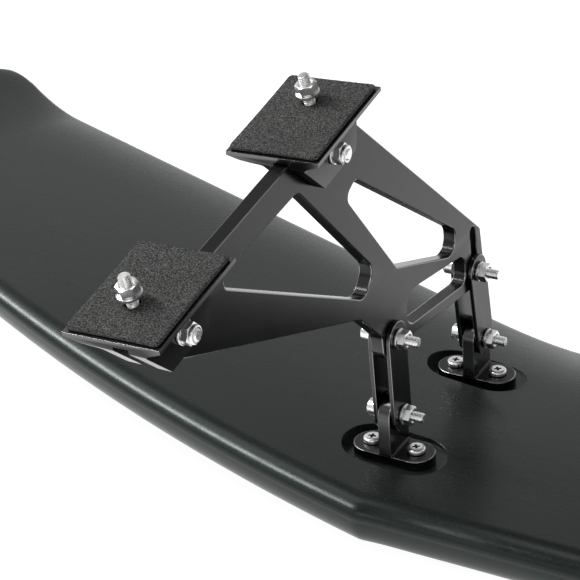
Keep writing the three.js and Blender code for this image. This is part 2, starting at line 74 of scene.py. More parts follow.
def shown(name, data):
    """A new object in the scene."""
    thing = bpy.data.objects.new(name, data)
    scene.collection.objects.link(thing)
    return thing


def standing(position, across, upward, outward):
    """The matrix that puts a thing at a position, with its x, y and z axes along three directions."""
    return Matrix.Translation(position) @ Matrix((across, upward, outward)).transposed().to_4x4()


# ------------------------------------------------------------------ camera

# Fitted to the photo. The offset is from the lower front pivot of the left stand.
AZIMUTH, ELEVATION, ROLL = rad(31.947), rad(27.596), rad(-3.915)
CAMERA_OFFSET = Vector((0.47652, -0.86459, 0.59660))
LENS, SENSOR = 126.658, 36

flat = math.cos(ELEVATION)
back = Vector((math.sin(AZIMUTH) * flat, -math.cos(AZIMUTH) * flat, math.sin(ELEVATION)))
level = Vector((math.cos(AZIMUTH), math.sin(AZIMUTH), 0))
upright = back.cross(level)
right = math.cos(ROLL) * level + math.sin(ROLL) * upright
up = -math.sin(ROLL) * level + math.cos(ROLL) * upright
camera_data = bpy.data.cameras.new("camera")
camera_data.lens, camera_data.sensor_width = LENS, SENSOR
camera = shown("camera", camera_data)
camera.matrix_world = standing(origin + CAMERA_OFFSET, right, up, back)
scene.camera = camera
scene.view_settings.view_transform = "Standard"

# ------------------------------------------------------------------ materials


class Look:
    """A node material being put together. Its noise is in object space, so scales are per metre."""

    def __init__(self, name, **sockets):
        self.material = bpy.data.materials.new(name)
        self.material.use_nodes = True
        self.tree = self.material.node_tree
        self.shader = self.tree.nodes["Principled BSDF"]
        for socket, value in sockets.items():
            self.shader.inputs[socket.replace("_", " ")].default_value = value
        self.coordinates = self.add("ShaderNodeTexCoord").outputs["Object"]

    def add(self, kind, inputs=(), **settings):
        node = self.tree.nodes.new(kind)
        for name, value in settings.items():
            setattr(node, name, value)
        for key, value in dict(inputs).items():
            if isinstance(value, bpy.types.NodeSocket):
                self.tree.links.new(value, node.inputs[key])
            else:
                node.inputs[key].default_value = value
        return node

    def noise(self, scale, detail=2, stretch=(1, 1, 1)):
        where = self.add("ShaderNodeMapping", {"Vector": self.coordinates, "Scale": stretch}).outputs[0]
        return self.add("ShaderNodeTexNoise", {"Vector": where, "Scale": scale, "Detail": detail}).outputs[0]

    def spread(self, value, low, high, low_to, high_to):
        """value from low..high, mapped to low_to..high_to."""
        return self.add("ShaderNodeMapRange", {0: value, 1: low, 2: high, 3: low_to, 4: high_to}).outputs[0]

    def combine(self, operation, first, second):
        return self.add("ShaderNodeMath", {0: first, 1: second}, operation=operation).outputs[0]

    def blend(self, share, first, second):
        """The first colour, and the second one where share is 1."""
        return self.add("ShaderNodeMix", {0: share, 6: first, 7: second}, data_type="RGBA").outputs[2]

    def edges(self, low, high):
        """How much painted highlight an edge gets, from how sharply the surface bends there."""
        return self.spread(self.add("ShaderNodeNewGeometry").outputs["Pointiness"], low, high, 0, 1)

    def mark(self, name):
        """1 on the faces that marked() gave this mark."""
        return self.add("ShaderNodeAttribute", attribute_name=name).outputs["Fac"]

    def bump(self, height, depth, strength, after=None):
        inputs = {"Height": height, "Distance": depth, "Strength": strength}
        if after is not None:
            inputs["Normal"] = after
        return self.add("ShaderNodeBump", inputs).outputs[0]

    def finish(self, color, roughness, normal):
        for value, name in ((color, "Base Color"), (roughness, "Roughness"), (normal, "Normal")):
            self.tree.links.new(value, self.shader.inputs[name])
        return self.material


def grey(value, tint=(1, 1, 1)):
    return (*(value * part for part in tint), 1)


def blade_plastic():
    look = Look(
        "black_moulded_plastic",
        Metallic=0.0, IOR=1.45, Specular_IOR_Level=0.38, Specular_Tint=(0.88, 1, 0.96, 1),
    )
    tint = (1, 1.3, 1.22)
    broad = look.noise(7, 3)
    grain = look.noise(1500, 2)
    pebble = look.noise(420, 3)
    scuff = look.noise(30, 5, (1, 16, 4))
    color = look.blend(look.spread(broad, 0.3, 0.7, 0, 1), grey(0.008, tint), grey(0.0102, tint))
    color = look.blend(look.spread(grain, 0.35, 0.75, 0, 0.3), color, grey(0.022))
    # Painted highlight: sharply bent edges are made a little lighter.
    color = look.blend(look.edges(0.53, 0.6), color, grey(0.04))
    rough = look.spread(pebble, 0.25, 0.75, 0.25, 0.29)
    rough = look.combine("ADD", rough, look.spread(scuff, 0.45, 0.75, 0, 0.05))
    normal = look.bump(grain, 0.00002, 0.2, look.bump(pebble, 0.00003, 0.16))
    return look.finish(color, rough, normal)


def anodised_aluminium():
    look = Look("black_anodised_aluminium", Metallic=1.0, IOR=1.45)
    tint = (1, 1.03, 1.0)
    cloud = look.noise(11, 3)
    brushed = look.noise(1, 3, (2200, 260, 2200))
    pores = look.noise(2600, 2)
    color = look.blend(look.spread(cloud, 0.3, 0.7, 0, 1), grey(0.032, tint), grey(0.04, tint))
    color = look.blend(look.spread(brushed, 0.45, 0.7, 0, 0.15), color, grey(0.055))
    # Painted highlight: sharply bent edges are made much lighter.
    color = look.blend(look.edges(0.53, 0.62), color, grey(0.3))
    # Painted highlight on the faces marked as chamfers, patchy with the cloud noise.
    chamfer_highlight = look.combine("MULTIPLY", look.mark("chamfer"), look.spread(cloud, 0.3, 0.6, 0.55, 1))
    color = look.blend(chamfer_highlight, color, grey(0.28))
    rough = look.spread(brushed, 0.2, 0.8, 0.22, 0.25)
    rough = look.combine("ADD", rough, look.spread(cloud, 0.4, 0.8, 0, 0.05))
    normal = look.bump(pores, 0.00001, 0.25, look.bump(brushed, 0.000004, 0.12))
    return look.finish(color, rough, normal)


def zinc_steel():
    look = Look("bright_zinc_steel", Metallic=1.0)
    cloud = look.noise(160, 3)
    turning = look.noise(1, 2, (300, 2500, 2500))
    speck = look.noise(3800, 2)
    cool, warm = grey(0.78, (1, 1.01, 1.02)), grey(0.92, (1, 1.0, 0.98))
    color = look.blend(look.spread(cloud, 0.35, 0.65, 0, 1), cool, warm)
    color = look.blend(look.spread(speck, 0.62, 0.75, 0, 0.5), color, grey(0.3))
    # Painted shade: the cross recess of the screw heads is made near black.
    color = look.blend(look.mark("recess"), color, grey(0.03))
    rough = look.spread(cloud, 0.3, 0.7, 0.22, 0.33)
    normal = look.bump(speck, 0.00001, 0.35, look.bump(turning, 0.00001, 0.3))
    return look.finish(color, rough, normal)


def plain_steel():
    look = Look("plain_pressed_steel", Metallic=1.0)
    mill = look.noise(1, 3, (60, 1500, 1500))
    stain = look.noise(90, 4)
    color = look.blend(look.spread(stain, 0.4, 0.7, 0, 1), grey(0.34), grey(0.22, (1.1, 1, 0.9)))
    rough = look.spread(stain, 0.3, 0.7, 0.34, 0.5)
    return look.finish(color, rough, look.bump(mill, 0.00003, 0.4))


def foam_rubber():
    look = Look("cellular_foam_rubber", Metallic=0.0, Specular_IOR_Level=0.25)
    cells = look.add("ShaderNodeTexVoronoi", {"Vector": look.coordinates, "Scale": 1150}).outputs["Distance"]
    clumps = look.noise(1400, 3)
    patches = look.noise(60, 3)
    color = look.blend(look.spread(clumps, 0.42, 0.64, 0, 1), grey(0.006), grey(0.12, (1, 1, 0.97)))
    color = look.blend(look.spread(patches, 0.35, 0.7, 0, 0.3), color, grey(0.03))
    color = look.blend(look.spread(cells, 0.0, 0.25, 0.55, 0), color, grey(0.012))
    rough = look.spread(clumps, 0.3, 0.7, 0.82, 0.98)
    normal = look.bump(clumps, 0.0005, 0.6, look.bump(cells, 0.0004, 0.5))
    return look.finish(color, rough, normal)


PLASTIC, ANODISED, ZINC, STEEL, FOAM = (
    blade_plastic(), anodised_aluminium(), zinc_steel(), plain_steel(), foam_rubber(),
)
# Each material's slot in the record, and the angle in degrees from which its edges are sharp.
FINISHES = {
    PLASTIC.name: ("blade", 34), ANODISED.name: ("anodised", 14), ZINC.name: ("zinc", 40), FOAM.name: ("foam", 60),
}

# ------------------------------------------------------------------ mesh helpers, in millimetres

WELD, WIDE_WELD = 1e-4, 1e-3
SQUARE = ((-1, -1), (1, -1), (1, 1), (-1, 1))
# Turns outlines drawn in (y, z) so that they are pushed along x.
ON_EDGE = Matrix(((0, 0, 1, 0), (1, 0, 0, 0), (0, 1, 0, 0), (0, 0, 0, 1)))
# Turns parts made about z so that they lie along x.
ALONG_X = Matrix.Rotation(math.pi / 2, 4, "Y")
TURN_OVER = Matrix.Rotation(math.pi, 4, "Y")


def at(y, z, x=0.0):
    return Matrix.Translation((x, y, z))


def to_mesh(thing):
    """The mesh that an object and its modifiers come to. The object is removed."""
    bpy.context.view_layer.update()
    mesh = bpy.data.meshes.new_from_object(thing.evaluated_get(bpy.context.evaluated_depsgraph_get()))
    bpy.data.objects.remove(thing)
    return mesh


def raw(points, faces):
    mesh = bpy.data.meshes.new("raw")
    mesh.from_pydata([tuple(point) for point in points], [], faces)
    return mesh


def tidied(mesh, distance=WELD):
    """Welds points that coincide and turns all faces outward."""
    work = bmesh.new()
    work.from_mesh(mesh)
    bmesh.ops.remove_doubles(work, verts=work.verts, dist=distance)
    bmesh.ops.recalc_face_normals(work, faces=work.faces)
    work.to_mesh(mesh)
    work.free()
    return mesh


def lofted(rings):
    """A skin over closed rings that have the same number of points, with its two ends closed."""
    size = len(rings[0])
    points = [point for ring in rings for point in ring]
    faces = []
    for start in range(0, len(points) - size, size):
        for k in range(size):
            a, b = start + k, start + (k + 1) % size
            faces.append((a, b, b + size, a + size))
    faces.append(list(range(size))[::-1])
    faces.append(list(range(len(points) - size, len(points))))
    return raw(points, faces)


def joined(*meshes):
    """Several meshes as one, without welding them."""
    points, faces = [], []
    for mesh in meshes:
        start = len(points)
        points += [vertex.co.copy() for vertex in mesh.vertices]
        faces += [[start + index for index in polygon.vertices] for polygon in mesh.polygons]
    return raw(points, faces)


def slanted(part):
    """Whether a face with this part of its normal along an axis is a bevel between that axis and another."""
    return 0.2 < part < 0.98


def marked(mesh, name, test):
    """Gives each face a mark of 1 where the test holds, for the materials to read."""
    marks = mesh.attributes.new(name, "FLOAT", "FACE").data
    for polygon in mesh.polygons:
        marks[polygon.index].value = float(test(polygon))
    return mesh


def moved(mesh, matrix):
    copy = mesh.copy()
    copy.transform(matrix)
    if matrix.is_negative:
        copy.flip_normals()
    return copy


def boolean(mesh, tool, operation="DIFFERENCE"):
    target, other = shown("target", mesh), shown("tool", tool)
    modifier = target.modifiers.new("cut", "BOOLEAN")
    modifier.operation, modifier.object, modifier.solver = operation, other, "EXACT"
    result = to_mesh(target)
    bpy.data.objects.remove(other)
    return result


def bevelled(mesh, width, segments=2, angle=28):
    """Bevels the edges that bend by more than an angle in degrees."""
    work = bmesh.new()
    work.from_mesh(mesh)
    bmesh.ops.remove_doubles(work, verts=work.verts, dist=WIDE_WELD)
    bmesh.ops.dissolve_limit(work, angle_limit=rad(1), verts=work.verts, edges=work.edges)
    work.to_mesh(mesh)
    work.free()
    target = shown("target", mesh)
    modifier = target.modifiers.new("bevel", "BEVEL")
    modifier.width, modifier.segments, modifier.angle_limit = width, segments, rad(angle)
    modifier.limit_method = "ANGLE"
    return to_mesh(target)


def arc(centre, radius, start, end, step=rad(6)):
    count = max(2, math.ceil(abs(end - start) / step))
    turns = [start + (end - start) * i / count for i in range(count + 1)]
    return [(centre[0] + radius * math.cos(turn), centre[1] + radius * math.sin(turn)) for turn in turns]


def circle(centre, radius, count=32):
    return arc(centre, radius, 0, 2 * math.pi, 2 * math.pi / count)[:-1]


def rounded(corners):
    """A closed outline from corners (a, b, radius), each rounded with its own radius."""
    points = []
    for i, (a, b, radius) in enumerate(corners):
        corner = Vector((a, b))
        before = (Vector(corners[i - 1][:2]) - corner).normalized()
        after = (Vector(corners[(i + 1) % len(corners)][:2]) - corner).normalized()
        half = math.acos(before.dot(after)) / 2
        first = corner + before * (radius / math.tan(half))
        centre = corner + (before + after).normalized() * (radius / math.sin(half))
        start = math.atan2(first.y - centre.y, first.x - centre.x)
        turn = (math.pi - 2 * half) * (-1 if before.x * after.y - before.y * after.x > 0 else 1)
        points += arc(centre, radius, start, start + turn)
    return points


def stadium(length, width, grow=0.0):
    reach, radius = (length - width) / 2, width / 2 + grow
    right_end = arc((reach, 0), radius, -math.pi / 2, math.pi / 2)
    return right_end + arc((-reach, 0), radius, math.pi / 2, 1.5 * math.pi)


def slab(outlines, low, high, bevel, steps=1):
    """Closed outlines, the outside first and then its holes, pushed along z with bevelled, marked edges."""
    curve = bpy.data.curves.new("outline", "CURVE")
    curve.dimensions, curve.fill_mode = "2D", "BOTH"
    curve.extrude, curve.bevel_depth = (high - low) / 2 - bevel, bevel
    curve.bevel_resolution, curve.offset = steps, -bevel
    for outline in outlines:
        spline = curve.splines.new("POLY")
        spline.points.add(len(outline) - 1)
        for point, (a, b) in zip(spline.points, outline):
            point.co = (a, b, 0, 1)
        spline.use_cyclic_u = True
    mesh = tidied(to_mesh(shown("outline", curve)))
    mesh.transform(at(0, (low + high) / 2))
    # The chamfer mark tells the anodised look where to paint a highlight.
    return marked(mesh, "chamfer", lambda face: slanted(abs(face.normal.z)))


def turned(rings, count=32):
    """A closed shape round z, from rings (radius, height). Both may be functions of the angle."""
    def here(value, angle):
        return value(angle) if callable(value) else value

    angles = [2 * math.pi * k / count for k in range(count)]
    return lofted([
        [(here(radius, a) * math.cos(a), here(radius, a) * math.sin(a), here(height, a)) for a in angles]
        for radius, height in rings
    ])


# ------------------------------------------------------------------ hardware

M6, M6_ACROSS = 3.0, 10
WASHER, WIDE_WASHER, WASHER_HEIGHT = 6.0, 6.2, 1.2


def threaded(radius, low, high, pitch=1.0, count=24, per_turn=6):
    """A rod with a helical thread and a chamfered upper end."""
    depth, flank, chamfer = 0.56 * pitch, 1.15, 0.75
    steps = max(2, round((high - low) / pitch * per_turn))
    rings = []
    for i in range(steps + 1):
        height = low + (high - low) * i / steps

        def reach(angle, height=height):
            phase = (height / pitch - angle / (2 * math.pi)) % 1
            groove = depth * max(0.0, 1 - abs(2 * phase - 1) * flank)
            return min(radius - groove, radius - chamfer + max(0.0, high - height))

        rings.append((reach, height))
    return turned(rings, count)


def hexagon(across):
    return lambda angle: across / 2 / math.cos((angle + math.pi / 6) % (math.pi / 3) - math.pi / 6)


def hex_nut(low, high, open_top=True):
    """An M6 nut whose corners are chamfered at both ends."""
    side, half = hexagon(M6_ACROSS), M6_ACROSS / 2
    face_radius, slope, edge, lead_in, lead_depth = half * 0.93, 0.6, 0.12, 0.7, 0.6

    def drop(angle):
        return (side(angle) - half) * slope + edge

    rings = [
        (face_radius, low), (side, lambda angle: low + drop(angle)), (side, lambda angle: high - drop(angle)),
        (face_radius, high),
    ]
    if open_top:
        rings += [(M6 + lead_in, high), (M6, high - lead_depth)]
    return turned(rings, 48)


def washer(outer, low, high, soft=0.2):
    return turned([
        (M6, low), (outer - soft, low), (outer, low + soft), (outer, high - soft), (outer - soft, high),
        (M6 + 0.15, high), (M6, high - 0.15),
    ])


def button_head(radius, low, high, socket=3.2):
    """A low domed head with a hexagonal socket, facing up."""
    crown, wall, dome, steps = 3.0, 0.7, math.pi / 2 * 0.82, 6
    rings = [(radius - 0.25, low), (radius, low + 0.25), (radius, low + wall)]
    for i in range(1, steps + 1):
        turn = i / steps * dome
        rise = (high - low - wall) * math.sin(turn) / math.sin(dome)
        rings.append((crown + (radius - crown) * math.cos(turn), low + wall + rise))
    hole = hexagon(socket)
    return turned(rings + [(hole, high - 0.02), (hole, high - 1.7), (0.4, high - 2.0)], 36)


def cap_head(low, high):
    """A cylindrical head with soft edges and a hexagonal socket, facing up."""
    rings = [(4.85, low), (5.0, low + 0.15), (5.0, high - 0.7), (4.93, high - 0.4), (4.75, high - 0.18), (4.4, high)]
    hole = hexagon(5)

    def rim(angle):
        return hole(angle) + 0.25

    return turned(rings + [(rim, high), (hole, high - 0.25), (hole, high - 3.0), (0.4, high - 3.6)], 48)


def place(mesh, name, body, node, material, side=None):
    """Makes a piece of a mesh in millimetres. With a side, the mesh is one of the left stand's and may be mirrored."""
    if side:
        x = joints[f"front_link_swing_{side}"]["pos_m"][0]
        mirror = 1 if side == "left" else -1
        matrix = Matrix.Translation((x, origin.y, origin.z)) @ Matrix.Diagonal((mirror * MM, MM, MM, 1))
        name, node = f"{name}_{side}", f"{node}_{side}"
        body = body if body == "blade" else f"{body}_{side}"
    else:
        matrix = Matrix.Translation((0, origin.y, 0)) @ Matrix.Diagonal((MM, MM, MM, 1))
    slot, sharp = FINISHES[material.name]
    mesh = moved(mesh, matrix)
    mesh.name = name
    mesh.shade_smooth()
    mesh.set_sharp_from_angle(angle=rad(sharp))
    mesh.materials.clear()
    mesh.materials.append(material)
    piece = shown(name, mesh)
    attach(piece, body)
    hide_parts(node)


# ------------------------------------------------------------------ blade

HALF_SPAN, STAND_X = 720, 220
BLADE_REAR = (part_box("blade_lower_skin")[1].y - origin.y) / MM
# Leading edge: level to the kink with a small step just inboard of it, then swept back.
LEADING_Y, LEADING_SWEEP, LEADING_CURVE = -60.87, 0.1446, 0.000414
KINK_X, KINK_BLEND, LEADING_STEP, LEADING_EASE = 214, 1.5, 5, 20
TRAILING_Y, TRAILING_KINK_X, TRAILING_BLEND, TRAILING_SWEEP = 188, 212, 30, 0.25
CORNER, CORNER_SHARE = 22, 0.9
# Height: a gentle rise outboard of the stands, then the curl of the tips.
RISE_X, RISE_BLEND, RISE_SLOPE = 186, 16, 0.1
CURL_X, CURL_HEIGHT = 648, 24
TIP_THINNING, TIP_EDGE = 0.14, 1.3
# Section: heights at the seam, of the belly (up here) and of the back (down here).
NOSE_DEPTH, SEAM_FRONT, SEAM_REAR, SEAM_GAP, SEAM_INSET = 15, 20, 2, 0.06, 0.35
BELLY_REAR, BELLY_RISE, BELLY_POWER = 4, 25.7, 3.6
BACK_START, BACK_CAMBER = 0.12, 20
REAR_RADIUS, REAR_LIFT = 1.1, 0.9
# Where a ring has points: distances from the leading edge, and shares of the chord along the seam.
NOSE = [
    0, 0.06, 0.25, 0.6, 1.1, 1.8, 2.7, 3.8, 5.1, 6.5, 8, 9.2, 10.2, 11, 11.7, 12.4, 13.1, 13.8, 14.6,
    15.6, 17.5, 20, 24,
]
BODY_STEPS = 62
SEAM_SHARES = (1, 0.75, 0.5, 0.25, 0.06, 0.0)
STATION_ROWS = ((0, 120, 10), (120, 320, 2.5), (320, 640, 8), (640, 696, 4), (696, 718, 1.6))
# Bracket pockets: y and floor height of each, their size, and how far each row of the cutter is grown.
POCKETS = ((0, 28.7), (108.2, 22.3))
POCKET_LENGTH, POCKET_WIDTH = 63, 40
POCKET_GROWTH = (-3.0, -1.0, -0.3, 0.0, 0.0, 0.35, 2.6, 2.6)


def ramp(distance, blend):
    """0 before and the distance after, with a soft bend between."""
    return (distance + math.hypot(distance, blend)) / 2


def section(x):
    """Front, chord, lift and thinning of the blade at a station."""
    ax = abs(x)
    into = ax - (HALF_SPAN - CORNER)
    corner = CORNER_SHARE * (CORNER - math.sqrt(max(0, CORNER ** 2 - into ** 2))) if into > 0 else 0
    out = ramp(ax - KINK_X, KINK_BLEND)
    step = LEADING_STEP * (1 - math.exp(-max(0, KINK_X - ax) / LEADING_EASE))
    front = LEADING_Y + step + LEADING_SWEEP * out + LEADING_CURVE * out * out + corner
    rear = min(TRAILING_Y + TRAILING_SWEEP * ramp(ax - TRAILING_KINK_X, TRAILING_BLEND) - corner, BLADE_REAR)
    curl = max(0, (ax - CURL_X) / (HALF_SPAN - CURL_X))
    rise = RISE_SLOPE * max(0, ramp(ax - RISE_X, RISE_BLEND) - ramp(-RISE_X, RISE_BLEND))
    thin = 1 - TIP_THINNING * max(0, ax - KINK_X) / (HALF_SPAN - KINK_X)
    return front, rear - front, rise + CURL_HEIGHT * curl * curl, thin


def seam_height(s):
    return SEAM_FRONT + (SEAM_REAR - SEAM_FRONT) * s


def nose_share(d):
    return math.sqrt(1 - (1 - min(1, d / NOSE_DEPTH)) ** 2)


def belly_height(s, d):
    full = BELLY_REAR + BELLY_RISE * (1 - s ** BELLY_POWER)
    return seam_height(s) + (full - seam_height(s)) * nose_share(d)


def back_height(s, d):
    along = max(0, (s - BACK_START) / (1 - BACK_START))
    full = BACK_CAMBER * along * (1 - along)
    return seam_height(s) - (seam_height(s) - full) * nose_share(d)


def skin_ring(x, upper):
    """One closed ring of (x, y, z) round a skin: over its outside, then back along the seam."""
    front, chord, lift, thin = section(x)
    height = back_height if upper else belly_height
    sign = 1 if upper else -1
    tip = max(0, (abs(x) - (HALF_SPAN - TIP_EDGE)) / TIP_EDGE)
    shrink = TIP_EDGE * (1 - math.sqrt(max(0, 1 - tip * tip)))
    gap = -SEAM_GAP * sign
    body_start, body_end = NOSE[-1], chord - REAR_RADIUS
    ring = []
    for d in NOSE + [body_start + (body_end - body_start) * (i + 1) / BODY_STEPS for i in range(BODY_STEPS)]:
        s = d / chord
        z = height(s, d)
        z = z + sign * min(shrink, abs(z - (seam_height(s) + gap)) * 0.9)
        ring.append((x, front + d, lift + thin * z))
    last = height(1, chord) + sign * shrink
    for turn in (rad(30), rad(60), rad(90)):
        y = front + chord - REAR_RADIUS + REAR_RADIUS * math.sin(turn)
        ring.append((x, y, lift + thin * (last + sign * REAR_LIFT * (1 - math.cos(turn)))))
    for s in SEAM_SHARES:
        y = front + s * chord + (SEAM_INSET if s == 0 else -SEAM_INSET if s == 1 else 0)
        ring.append((x, y, lift + thin * seam_height(s) + gap))
    return ring


def skin_stations():
    half = {x for row in STATION_ROWS for x in np.arange(*row).tolist()}
    half |= {HALF_SPAN - TIP_EDGE * k for k in (1, 0.7, 0.4, 0.2, 0.07, 0)}
    half = sorted(half)
    return [-x for x in half[:0:-1]] + half


def skin_mesh(upper):
    return tidied(lofted([skin_ring(x, upper) for x in skin_stations()]), WIDE_WELD)


def pocket_cutter(x0, y0, floor):
    """The space over one bracket pocket: a flat floor with a soft root, upright walls and a chamfered rim."""
    def heights(x, y):
        front, chord, lift, thin = section(x)
        rim = lift + thin * belly_height((y - front) / chord, y - front)
        return (
            floor, floor, floor + 0.25, floor + 0.8, max(rim - 0.3, floor + 1.0), max(rim + 0.05, floor + 1.4),
            max(rim + 1.2, floor + 2.6), floor + 40,
        )

    return tidied(lofted([
        [(x0 + a, y0 + b, heights(x0 + a, y0 + b)[row]) for a, b in stadium(POCKET_LENGTH, POCKET_WIDTH, grow)]
        for row, grow in enumerate(POCKET_GROWTH)
    ]))


lower = skin_mesh(False)
for x in (-STAND_X, STAND_X):
    for y, floor in POCKETS:
        lower = boolean(lower, pocket_cutter(x, y, floor))
place(lower, "lower_skin", "blade", "blade_lower_skin", PLASTIC)
place(skin_mesh(True), "upper_skin", "blade", "blade_upper_skin", PLASTIC)

# ------------------------------------------------------------------ stand parts, drawn for the left stand

# (y, z) of the bolts, from the lower front pivot.
FRONT_LOWER, FRONT_UPPER = (0, 0), (-2.7, 49.9)
REAR_LOWER, REAR_UPPER = (108.2, -6.4), (99.9, 42.9)
REAR_FOOT, FRONT_FOOT = (-70, 190.4), (-212.4, 161.7)
# Radius of the bolt holes, then thicknesses: plate, play between parts, links and foot flanges.
HOLE, PLATE, GAP, LINK, FLANGE = 3.3, 8, 0.3, 2.5, 7.8
LINK_RADIUS = 10
LINE_SLOPE = (REAR_FOOT[1] - FRONT_FOOT[1]) / (REAR_FOOT[0] - FRONT_FOOT[0])
EDGE_ABOVE_FEET = 9.9
SLOT_RADIUS, SLOT_LOW, SLOT_HIGH = 3.6, rad(-4.4), rad(10.4)


def chord_edge(y):
    """Height of the plate's straight upper edge, which runs past both foot bolts."""
    return REAR_FOOT[1] + LINE_SLOPE * (y - REAR_FOOT[0]) + EDGE_ABOVE_FEET * math.hypot(1, LINE_SLOPE)


def slot_outline():
    cy, cz = FRONT_UPPER
    reach = math.hypot(REAR_UPPER[0] - cy, REAR_UPPER[1] - cz)

    def side(radius, start, end):
        return arc((cy, cz), radius, start, end, rad(1))

    def end(angle, start):
        centre = (cy + reach * math.cos(angle), cz + reach * math.sin(angle))
        return arc(centre, SLOT_RADIUS, start, start + math.pi, rad(12))[1:-1]

    return (
        side(reach + SLOT_RADIUS, SLOT_LOW, SLOT_HIGH) + end(SLOT_HIGH, SLOT_HIGH)
        + side(reach - SLOT_RADIUS, SLOT_HIGH, SLOT_LOW) + end(SLOT_LOW, SLOT_LOW + math.pi)
    )


def stand_plate():
    outline = rounded([
        (-220, chord_edge(-220), 9), (-226, 149.3, 9), (-38, 78.5, 14), (-15.2, 55.9, 6), (-13.7, 37.4, 10),
        (24, 40, 20), (90, 32.6, 14), (114.5, 30.5, 10), (108.6, 67, 4), (-50, chord_edge(-50), 8),
    ])
    windows = [rounded(corners) for corners in (
        [(-174.5, 163.5, 5), (-93.4, 177.2, 7), (-21, 101.5, 8), (-32, 87.5, 8)],
        [(4.8, 89.5, 1), (-47, 153.5, 5), (-36, 159.9, 5), (75.5, 81, 8), (77, 63, 8)],
        [(88.5, 40.1, 6), (14.5, 47.8, 8.5), (14.5, 69.4, 8.5), (87, 59, 8)],
    )]
    holes = [slot_outline()] + [circle(centre, HOLE) for centre in (FRONT_UPPER, REAR_FOOT, FRONT_FOOT)]
    return moved(slab([outline, *windows, *holes], -PLATE / 2, PLATE / 2, 0.65), ON_EDGE)


def link(lower_end, upper_end, x0):
    """A flat bar with round ends, its inner face at x0."""
    lean = math.atan2(upper_end[1] - lower_end[1], upper_end[0] - lower_end[0])
    outline = arc(upper_end, LINK_RADIUS, lean - math.pi / 2, lean + math.pi / 2)
    outline += arc(lower_end, LINK_RADIUS, lean + math.pi / 2, lean + 1.5 * math.pi)
    return moved(slab([outline, circle(lower_end, HOLE), circle(upper_end, HOLE)], x0, x0 + LINK, 0.4), ON_EDGE)


BRACKET_DROP, SEAT_LENGTH, SEAT_WIDTH, SEAT_HEIGHT = 29, 50, 23, 6
SCREW_X, SCREW_HOLE = 14, 2.8
TONGUE_RADIUS, WEB_HALF = 11.5, 3.8
FILLET, FILLET_STEPS = 1.8, 5


def t_bracket(pivot):
    """A seat in the blade's pocket and an upright tongue with the pivot hole, joined by a small fillet."""
    y, z = pivot
    bottom = z - BRACKET_DROP
    screw_holes = [circle((x, 0), SCREW_HOLE) for x in (-SCREW_X, SCREW_X)]
    seat = slab([stadium(SEAT_LENGTH, SEAT_WIDTH), *screw_holes], 0, SEAT_HEIGHT, 0.7, 2)
    seat.transform(at(y, bottom))
    tongue = [(y - TONGUE_RADIUS, bottom + 4), (y + TONGUE_RADIUS, bottom + 4)]
    tongue += arc((y, z), TONGUE_RADIUS, 0, math.pi)
    web = moved(slab([tongue, circle((y, z), HOLE)], -WEB_HALF, WEB_HALF, 0.55), ON_EDGE)
    rings = []
    for k in range(FILLET_STEPS + 1):
        turn = k / FILLET_STEPS * math.pi / 2
        grow, rise = FILLET * (1 - math.sin(turn)), FILLET * (1 - math.cos(turn))
        # The fillet starts a little inside the web and the seat.
        a, b, radius = WEB_HALF - 0.1 + grow, TONGUE_RADIUS - 0.1 + min(grow, 0.1), 0.6 + grow * 0.5
        outline = rounded([(a, b, radius), (-a, b, radius), (-a, -b, radius), (a, -b, radius)])
        rings.append([(x, y + along, bottom + SEAT_HEIGHT - 0.05 + rise) for x, along in outline])

    # Faces that get the painted chamfer highlight: the seat's rim and the tongue's bevels.
    def bright(face):
        height = face.center.z - bottom
        seat_rim = 5.2 < height < 6.1 and abs(face.center.x) > 6 and slanted(face.normal.z)
        return seat_rim or (height > 8 and slanted(abs(face.normal.x)))

    return marked(joined(seat, web, tidied(lofted(rings))), "chamfer", bright)


def pan_screw():
    """A pan head with a cross recess on a threaded shank, its underside at height 0."""
    head = tidied(turned([
        (2.3, -0.4), (5.0, 0.0), (5.4, 0.3), (5.4, 1.5), (5.34, 1.95), (5.1, 2.4), (4.65, 2.72), (4.0, 2.9), (3.0, 2.97),
        (1.5, 3.0), (0.4, 3.0),
    ], 40))
    # Half length, half width and height of a recess arm at its mouth and at its bottom.
    arm = tidied(lofted([
        [(a * half_length, b * half_width, height) for a, b in SQUARE]
        for half_length, half_width, height in ((2.5, 0.78, 3.4), (1.2, 0.5, 0.9))
    ]))
    for angle in (22, 112):
        head = boolean(head, moved(arm, Matrix.Rotation(rad(angle), 4, "Z")))

    # The recess faces, which the zinc look paints near black as shade.
    def recess(face):
        return face.center.xy.length < 2.7 and 0.7 < face.center.z < 2.94

    return marked(joined(tidied(head), threaded(2.4, -13.0, -0.3, 1.25, 16, 5)), "recess", recess)


def plain_shank(face):
    """The unthreaded length between a bolt's head and its nut, centred on the stand plate."""
    return turned([(2.6, -face - 1.2), (2.9, -face - 0.2), (2.9, face - 0.2), (2.9, face)], 24)


def pivot_bolt():
    """Cap-head bolt through a link stack, with a washer under its head and a washer and nut inboard."""
    face = PLATE / 2 + GAP + LINK + GAP
    seat = face + WASHER_HEIGHT
    ring = washer(WASHER, face, seat)
    head = moved(joined(ring, cap_head(seat, face + 7.4)), TURN_OVER)
    parts = [head, plain_shank(face), ring, hex_nut(seat, face + 6.2), threaded(M6, face, face + 12.6)]
    return moved(joined(*parts), ALONG_X)


